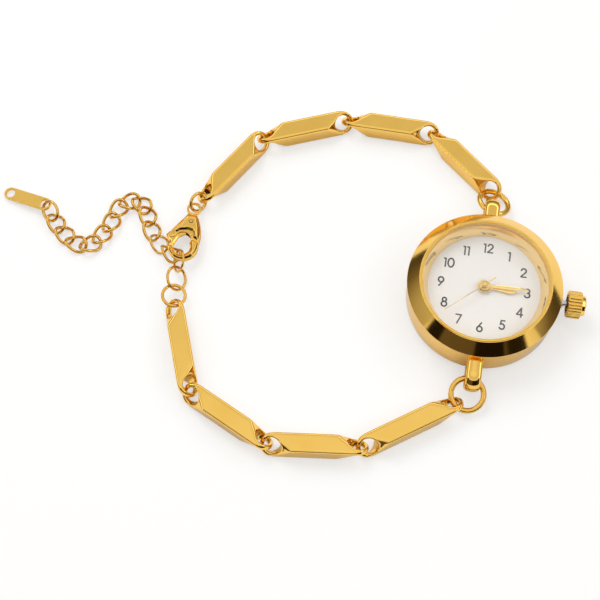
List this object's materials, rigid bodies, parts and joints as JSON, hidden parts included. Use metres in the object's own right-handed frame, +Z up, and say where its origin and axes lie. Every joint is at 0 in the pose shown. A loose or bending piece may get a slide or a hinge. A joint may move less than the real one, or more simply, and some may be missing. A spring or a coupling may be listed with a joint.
{
  "type": "bracelet watch",
  "caption": "Small round watch on a bracelet of square bar links, closed by a lobster clasp with an extension chain and a tag.",
  "frame": {"origin": "centre of the flat bottom of the case back, on the surface that the watch lies on", "axes": "+Z up through the dial, +Y to 12 o'clock, +X to the crown at 3 o'clock"},
  "size_m": [0.0867, 0.0548, 0.0074],
  "materials": {
    "case_gold": "polished gold-plated case and bezel",
    "steel_back": "brushed steel back, pressed on",
    "gasket": "black rubber seal",
    "crystal": "flat polished mineral crystal",
    "inner_ring": "mirror-polished sloping ring",
    "dial_white": "satin white painted dial with printed numbers",
    "hand_gold": "polished gold hands",
    "brass": "plain brass movement parts",
    "steel": "bright steel",
    "copper_coil": "enamelled copper winding",
    "holder": "white nylon movement holder",
    "crown_gold": "polished fluted crown",
    "bar_gold": "polished gold-plated bar links",
    "chain_gold": "polished gold-plated chain wire",
    "ring_gold": "polished gold-plated ring wire",
    "small_ring_gold": "polished gold-plated ring wire",
    "clasp_gold": "polished gold-plated clasp",
    "tag_gold": "polished gold-plated flat tag"
  },
  "bodies": {
    "head": {"case_middle": "case_gold", "case_back": "steel_back", "case_back_gasket": "gasket", "bezel": "case_gold", "crystal_gasket": "gasket", "crystal": "crystal", "dial_ring": "inner_ring", "dial": "dial_white", "movement_plate": "brass", "battery_cell": "steel", "drive_coil": "copper_coil", "movement_holder": "holder", "crown_tube": "steel"},
    "second_hand": {"second_hand": "hand_gold", "second_arbor": "steel"},
    "minute_hand": {"minute_hand": "hand_gold", "cannon_pinion": "brass"},
    "hour_hand": {"hour_hand": "hand_gold", "hour_wheel": "brass"},
    "stem": {"setting_stem": "steel"},
    "crown": {"crown": "crown_gold", "crown_gasket": "gasket"},
    "ring_twelve": {"ring_twelve": "ring_gold"},
    "ring_six": {"ring_six": "ring_gold"},
    "clasp_ring": {"clasp_ring": "small_ring_gold"},
    "end_ring": {"end_ring": "small_ring_gold"},
    "join_ring": {"join_ring": "small_ring_gold"},
    "hooked_ring": {"hooked_ring": "small_ring_gold"},
    "clasp": {"clasp_body": "clasp_gold", "clasp_pin": "clasp_gold"},
    "clasp_lever": {"clasp_lever": "clasp_gold", "clasp_spring": "steel"},
    "tag": {"tag": "tag_gold"},
    "bar_1": {"bar_link_1": "bar_gold"},
    "bar_2": {"bar_link_2": "bar_gold"},
    "bar_3": {"bar_link_3": "bar_gold"},
    "bar_4": {"bar_link_4": "bar_gold"},
    "bar_5": {"bar_link_5": "bar_gold"},
    "bar_6": {"bar_link_6": "bar_gold"},
    "bar_7": {"bar_link_7": "bar_gold"},
    "bar_8": {"bar_link_8": "bar_gold"},
    "link_1": {"chain_link_1": "chain_gold"},
    "link_2": {"chain_link_2": "chain_gold"},
    "link_3": {"chain_link_3": "chain_gold"},
    "link_4": {"chain_link_4": "chain_gold"},
    "link_5": {"chain_link_5": "chain_gold"},
    "link_6": {"chain_link_6": "chain_gold"},
    "link_7": {"chain_link_7": "chain_gold"},
    "link_8": {"chain_link_8": "chain_gold"},
    "link_9": {"chain_link_9": "chain_gold"},
    "link_10": {"chain_link_10": "chain_gold"},
    "link_11": {"chain_link_11": "chain_gold"},
    "link_12": {"chain_link_12": "chain_gold"},
    "link_13": {"chain_link_13": "chain_gold"},
    "link_14": {"chain_link_14": "chain_gold"}
  },
  "joints": [
    {"name": "second_hand_turn", "type": "hinge", "parent": "head", "child": "second_hand", "pos_m": [0, 0, 0.00465], "axis": [0, 0, -1], "continuous": true},
    {"name": "minute_hand_turn", "type": "hinge", "parent": "head", "child": "minute_hand", "pos_m": [0, 0, 0.00465], "axis": [0, 0, -1], "continuous": true},
    {"name": "hour_hand_turn", "type": "hinge", "parent": "head", "child": "hour_hand", "pos_m": [0, 0, 0.00465], "axis": [0, 0, -1], "continuous": true},
    {"name": "crown_slide", "type": "slide", "parent": "head", "child": "stem", "axis": [1, 0, 0], "range_m": [-0.0009, 0]},
    {"name": "crown_turn", "type": "hinge", "parent": "stem", "child": "crown", "pos_m": [0.0129, 0, 0.00305], "axis": [1, 0, 0], "continuous": true},
    {"name": "ring_twelve_swing", "type": "hinge", "parent": "head", "child": "ring_twelve", "pos_m": [0, 0.01287, 0.0015], "axis": [0, 0, 1], "range_deg": [-3, 3]},
    {"name": "bar_4_swing", "type": "hinge", "parent": "ring_twelve", "child": "bar_4", "pos_m": [-0.00045, 0.0176, 0.00135], "axis": [0, 0, 1], "range_deg": [-3.1, 3.1]},
    {"name": "bar_3_swing", "type": "hinge", "parent": "bar_4", "child": "bar_3", "pos_m": [-0.01, 0.02523, 0.00135], "axis": [0, 0, 1], "range_deg": [-2.17, 2.17]},
    {"name": "bar_2_swing", "type": "hinge", "parent": "bar_3", "child": "bar_2", "pos_m": [-0.02308, 0.02551, 0.00135], "axis": [0, 0, 1], "range_deg": [-5, 5]},
    {"name": "bar_1_swing", "type": "hinge", "parent": "bar_2", "child": "bar_1", "pos_m": [-0.03516, 0.02048, 0.00135], "axis": [0, 0, 1], "range_deg": [-3.54, 3.54]},
    {"name": "clasp_ring_swing", "type": "hinge", "parent": "bar_1", "child": "clasp_ring", "pos_m": [-0.04179, 0.01019, 0.0015], "axis": [0, 0, 1], "range_deg": [-1.45, 1.45]},
    {"name": "clasp_swing", "type": "hinge", "parent": "clasp_ring", "child": "clasp", "pos_m": [-0.0434, 0.00745, 0.0015], "axis": [0, 0, 1], "range_deg": [-3, 3]},
    {"name": "ring_six_swing", "type": "hinge", "parent": "head", "child": "ring_six", "pos_m": [0, -0.01287, 0.0015], "axis": [0, 0, -1], "range_deg": [-3, 3]},
    {"name": "bar_8_swing", "type": "hinge", "parent": "ring_six", "child": "bar_8", "pos_m": [-0.00245, -0.0171, 0.00135], "axis": [0, 0, -1], "range_deg": [-3.22, 3.22]},
    {"name": "bar_7_swing", "type": "hinge", "parent": "bar_8", "child": "bar_7", "pos_m": [-0.01384, -0.02481, 0.00135], "axis": [0, 0, -1], "range_deg": [-2.16, 2.16]},
    {"name": "bar_6_swing", "type": "hinge", "parent": "bar_7", "child": "bar_6", "pos_m": [-0.02684, -0.02626, 0.00135], "axis": [0, 0, -1], "range_deg": [-5, 5]},
    {"name": "bar_5_swing", "type": "hinge", "parent": "bar_6", "child": "bar_5", "pos_m": [-0.03854, -0.02047, 0.00135], "axis": [0, 0, -1], "range_deg": [-3.86, 3.86]},
    {"name": "end_ring_swing", "type": "hinge", "parent": "bar_5", "child": "end_ring", "pos_m": [-0.04302, -0.0091, 0.0015], "axis": [0, 0, -1], "range_deg": [-1.98, 1.98]},
    {"name": "join_ring_swing", "type": "hinge", "parent": "end_ring", "child": "join_ring", "pos_m": [-0.04371, -0.00544, 0.0015], "axis": [0, 0, 1], "range_deg": [-5.6, 5.6]},
    {"name": "hooked_ring_swing", "type": "hinge", "parent": "join_ring", "child": "hooked_ring", "pos_m": [-0.04386, -0.00273, 0.0015], "axis": [0, 0, 1], "range_deg": [-1.85, 1.85]},
    {"name": "clasp_lever_swing", "type": "hinge", "parent": "clasp", "child": "clasp_lever", "pos_m": [-0.0433, 0.00486, 0.00138], "axis": [0, 0.0869, 0.9962], "range_deg": [0, 6], "stiffness_Nm_per_rad": 0.02, "springref_deg": -11.46},
    {"name": "link_14_swing", "type": "hinge", "parent": "hooked_ring", "child": "link_14", "pos_m": [-0.04449, -0.00072, 0.0009], "axis": [0, 0, 1], "range_deg": [-3, 3]},
    {"name": "link_13_swing", "type": "hinge", "parent": "link_14", "child": "link_13", "pos_m": [-0.04648, 0.00074, 0.0006], "axis": [0, 0, -1], "range_deg": [-5, 12]},
    {"name": "link_12_swing", "type": "hinge", "parent": "link_13", "child": "link_12", "pos_m": [-0.04821, 0.00237, 0.0006], "axis": [0, 0, 1], "range_deg": [-12, 12]},
    {"name": "link_11_swing", "type": "hinge", "parent": "link_12", "child": "link_11", "pos_m": [-0.04948, 0.00442, 0.0006], "axis": [0, 0, -1], "range_deg": [-12, 5]},
    {"name": "link_10_swing", "type": "hinge", "parent": "link_11", "child": "link_10", "pos_m": [-0.05065, 0.00643, 0.0006], "axis": [0, 0, 1], "range_deg": [-12, 1]},
    {"name": "link_9_swing", "type": "hinge", "parent": "link_10", "child": "link_9", "pos_m": [-0.05226, 0.00738, 0.0006], "axis": [0, 0, -1], "range_deg": [-8, 12]},
    {"name": "link_8_swing", "type": "hinge", "parent": "link_9", "child": "link_8", "pos_m": [-0.05392, 0.00668, 0.0006], "axis": [0, 0, 1], "range_deg": [-12, 12]},
    {"name": "link_7_swing", "type": "hinge", "parent": "link_8", "child": "link_7", "pos_m": [-0.0549, 0.00474, 0.0006], "axis": [0, 0, -1], "range_deg": [-11, 12]},
    {"name": "link_6_swing", "type": "hinge", "parent": "link_7", "child": "link_6", "pos_m": [-0.05566, 0.00247, 0.0006], "axis": [0, 0, 1], "range_deg": [-12, 12]},
    {"name": "link_5_swing", "type": "hinge", "parent": "link_6", "child": "link_5", "pos_m": [-0.0568, 0.00054, 0.0006], "axis": [0, 0, -1], "range_deg": [-12, 12]},
    {"name": "link_4_swing", "type": "hinge", "parent": "link_5", "child": "link_4", "pos_m": [-0.05851, -0.0004, 0.0006], "axis": [0, 0, 1], "range_deg": [-12, 12]},
    {"name": "link_3_swing", "type": "hinge", "parent": "link_4", "child": "link_3", "pos_m": [-0.06049, 0.00009, 0.0006], "axis": [0, 0, -1], "range_deg": [-12, 12]},
    {"name": "link_2_swing", "type": "hinge", "parent": "link_3", "child": "link_2", "pos_m": [-0.06232, 0.0015, 0.0006], "axis": [0, 0, 1], "range_deg": [-12, 12]},
    {"name": "link_1_swing", "type": "hinge", "parent": "link_2", "child": "link_1", "pos_m": [-0.06375, 0.00307, 0.0006], "axis": [0, 0, -1], "range_deg": [-12, 12]},
    {"name": "tag_swing", "type": "hinge", "parent": "link_1", "child": "tag", "pos_m": [-0.06543, 0.0048, 0.0012], "axis": [0, 0, 1], "range_deg": [-6, 6]}
  ],
  "couplings": [
    {"joint": "minute_hand_turn", "follows": "second_hand_turn", "ratio": 0.016667},
    {"joint": "hour_hand_turn", "follows": "second_hand_turn", "ratio": 0.0013889},
    {"joint": "bar_3_swing", "follows": "bar_2_swing", "ratio": -0.43273},
    {"joint": "bar_1_swing", "follows": "bar_2_swing", "ratio": -0.7063},
    {"joint": "bar_7_swing", "follows": "bar_6_swing", "ratio": -0.43098},
    {"joint": "bar_5_swing", "follows": "bar_6_swing", "ratio": -0.77008},
    {"joint": "bar_4_swing", "follows": "ring_twelve_swing", "ratio": -1.0321},
    {"joint": "clasp_ring_swing", "follows": "ring_twelve_swing", "ratio": 0.47804},
    {"joint": "bar_8_swing", "follows": "ring_six_swing", "ratio": -1.071},
    {"joint": "end_ring_swing", "follows": "ring_six_swing", "ratio": 0.65939},
    {"joint": "join_ring_swing", "follows": "clasp_swing", "ratio": -1.87}
  ]
}
